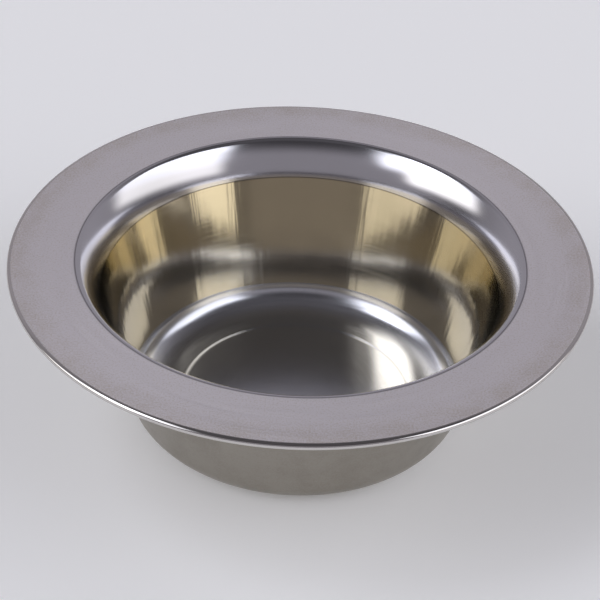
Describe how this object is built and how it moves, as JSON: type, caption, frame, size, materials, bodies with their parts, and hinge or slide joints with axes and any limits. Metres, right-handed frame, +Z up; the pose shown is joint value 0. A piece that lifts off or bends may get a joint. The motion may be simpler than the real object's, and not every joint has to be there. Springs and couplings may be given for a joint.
{
  "type": "shaving bowl",
  "caption": "Shallow round stainless steel lathering bowl with a wide flat satin rim, a polished inner shoulder, a tapered well and a pressed-up floor.",
  "frame": {"origin": "centre of the ring the bowl stands on, at the surface under it", "axes": "+Z up along the axis of revolution, out of the mouth; X and Y are any two directions across the round bowl"},
  "size_m": [0.12, 0.12, 0.0373],
  "materials": {
    "steel": "satin rim and underside, polished shoulder and rim edge, spun and brushed well"
  },
  "bodies": {
    "root": {"bowl": "steel"}
  },
  "joints": []
}
